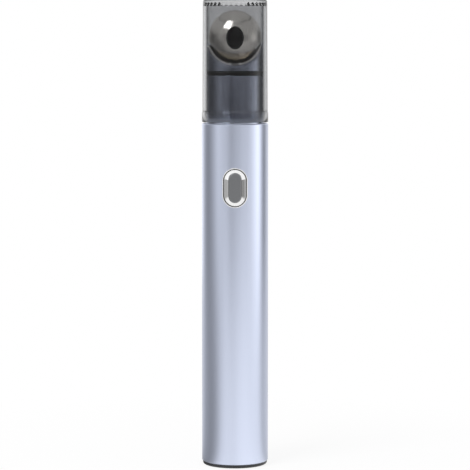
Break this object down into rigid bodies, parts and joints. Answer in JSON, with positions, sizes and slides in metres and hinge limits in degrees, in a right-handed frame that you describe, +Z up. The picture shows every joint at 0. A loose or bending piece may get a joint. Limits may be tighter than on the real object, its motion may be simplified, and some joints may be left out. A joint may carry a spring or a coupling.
{
  "type": "digital otoscope",
  "caption": "Pen-shaped digital otoscope with a metal barrel, push key, tilting ball camera in a saddle cradle and a clear smoke pull-off cap.",
  "frame": {"origin": "centre of the base's flat underside", "axes": "+Z up the barrel's axis to the cap, -Y the front with the key and the lens, +X to the right seen from the front"},
  "size_m": [0.018, 0.018, 0.1264],
  "materials": {
    "barrel_aluminium": "lilac-silver anodised, fine lengthwise brushing, satin",
    "head_aluminium": "lilac-silver anodised, satin",
    "polished_chrome": "polished plating",
    "key_metal": "satin grey",
    "ball_metal": "warm silver polished nickel",
    "smoke_plastic": "smoke-grey clear moulded plastic, polished",
    "black_plastic": "black moulded, fine matt",
    "frame_plastic": "grey moulded",
    "black_rubber": "soft black",
    "window_glass": "dark coated",
    "lens_glass": "coated lens",
    "steel": "bright",
    "brass_gold": "gold contacts",
    "board_green": "green solder mask",
    "chip_black": "black epoxy",
    "battery_wrap": "blue shrink wrap",
    "foam": "black foam",
    "lead_red": "insulation",
    "flex_amber": "polyimide",
    "led_lens": "phosphor and clear resin",
    "ceramic": "glazed ceramic"
  },
  "bodies": {
    "handle": {"body_tube": "barrel_aluminium", "base_plug": "black_plastic", "base_seal": "black_rubber", "port_shell": "steel", "port_tongue": "black_plastic", "charge_board": "board_green", "chassis_sled": "frame_plastic", "main_board": "board_green", "board_screws": "steel", "battery_cell": "battery_wrap", "battery_pad": "foam", "battery_leads": "lead_red", "wifi_module": "board_green", "wifi_shield": "steel", "processor_chip": "chip_black", "antenna_chip": "ceramic", "board_components": "chip_black", "button_bezel": "polished_chrome", "switch_housing": "chip_black", "head_collar": "head_aluminium", "collar_screws": "steel", "cap_seal_ring": "black_rubber", "ball_cradle": "head_aluminium", "pivot_post": "steel", "post_screws": "steel", "camera_flex": "flex_amber", "flex_connector": "chip_black"},
    "key": {"button_cap": "key_metal", "switch_plunger": "black_plastic"},
    "camera_ball": {"ball_front_shell": "ball_metal", "ball_rear_shell": "ball_metal", "lens_window": "window_glass", "window_gasket": "black_rubber", "lens_barrel": "black_plastic", "front_lens": "lens_glass", "image_sensor": "chip_black", "sensor_board": "board_green", "led_board": "board_green", "led_pair": "led_lens", "camera_frame": "frame_plastic", "friction_washers": "brass_gold", "tilt_axle": "steel"},
    "cap": {"cap_shell": "smoke_plastic"}
  },
  "joints": [
    {"name": "cap_pull", "type": "slide", "parent": "handle", "child": "cap", "axis": [0, 0, 1], "range_m": [0, 0.045]},
    {"name": "key_press", "type": "slide", "parent": "handle", "child": "key", "axis": [0, 1, 0], "range_m": [0, 0.0004], "stiffness_N_per_m": 400},
    {"name": "ball_tilt", "type": "hinge", "parent": "handle", "child": "camera_ball", "pos_m": [0, 0, 0.11596], "axis": [-1, 0, 0], "range_deg": [0, 90]}
  ]
}
